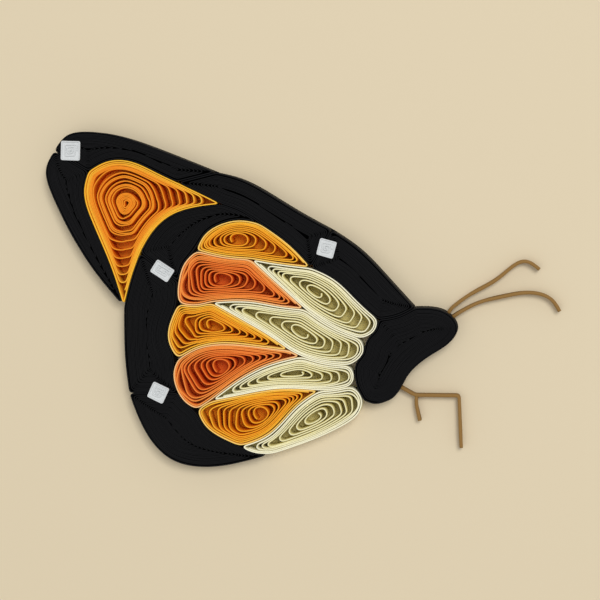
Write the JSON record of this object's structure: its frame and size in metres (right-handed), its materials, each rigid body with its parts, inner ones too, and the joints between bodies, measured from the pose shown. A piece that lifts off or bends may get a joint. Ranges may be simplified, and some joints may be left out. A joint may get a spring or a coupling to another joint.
{
  "type": "quilled paper butterfly",
  "caption": "Small butterfly of coiled and pinched paper strips: wings, body, edge squares, antennae and legs glued side by side.",
  "frame": {"origin": "on the underside, below the middle of the body coil", "axes": "+X along the butterfly's length, from the wings to the antennae; +Y towards the fore wing's tip side; +Z out of the face that shows, along the strips' width"},
  "size_m": [0.0424, 0.0278, 0.0022],
  "materials": {
    "golden_paper": "matte, quilled on edge",
    "orange_paper": "matte, quilled on edge",
    "cream_paper": "matte, quilled on edge",
    "black_paper": "matte, quilled on edge",
    "white_paper": "matte",
    "brown_paper": "matte"
  },
  "bodies": {
    "root": {"forewing_cell_coil": "golden_paper", "hindwing_orange_coil_1": "golden_paper", "hindwing_orange_coil_2": "orange_paper", "hindwing_orange_coil_3": "golden_paper", "hindwing_orange_coil_4": "orange_paper", "hindwing_orange_coil_5": "golden_paper", "hindwing_cream_coil_1": "cream_paper", "hindwing_cream_coil_2": "cream_paper", "hindwing_cream_coil_3": "cream_paper", "hindwing_cream_coil_4": "cream_paper", "forewing_top_coil": "black_paper", "forewing_side_coil": "black_paper", "costal_coil_outer": "black_paper", "costal_coil_inner": "black_paper", "margin_coil_upper": "black_paper", "margin_coil_middle": "black_paper", "margin_coil_lower": "black_paper", "body_coil": "black_paper", "white_spot_1": "white_paper", "white_spot_2": "white_paper", "white_spot_3": "white_paper", "white_spot_4": "white_paper", "antenna_upper": "brown_paper", "antenna_lower": "brown_paper", "leg_front": "brown_paper", "leg_rear": "brown_paper"}
  },
  "joints": []
}
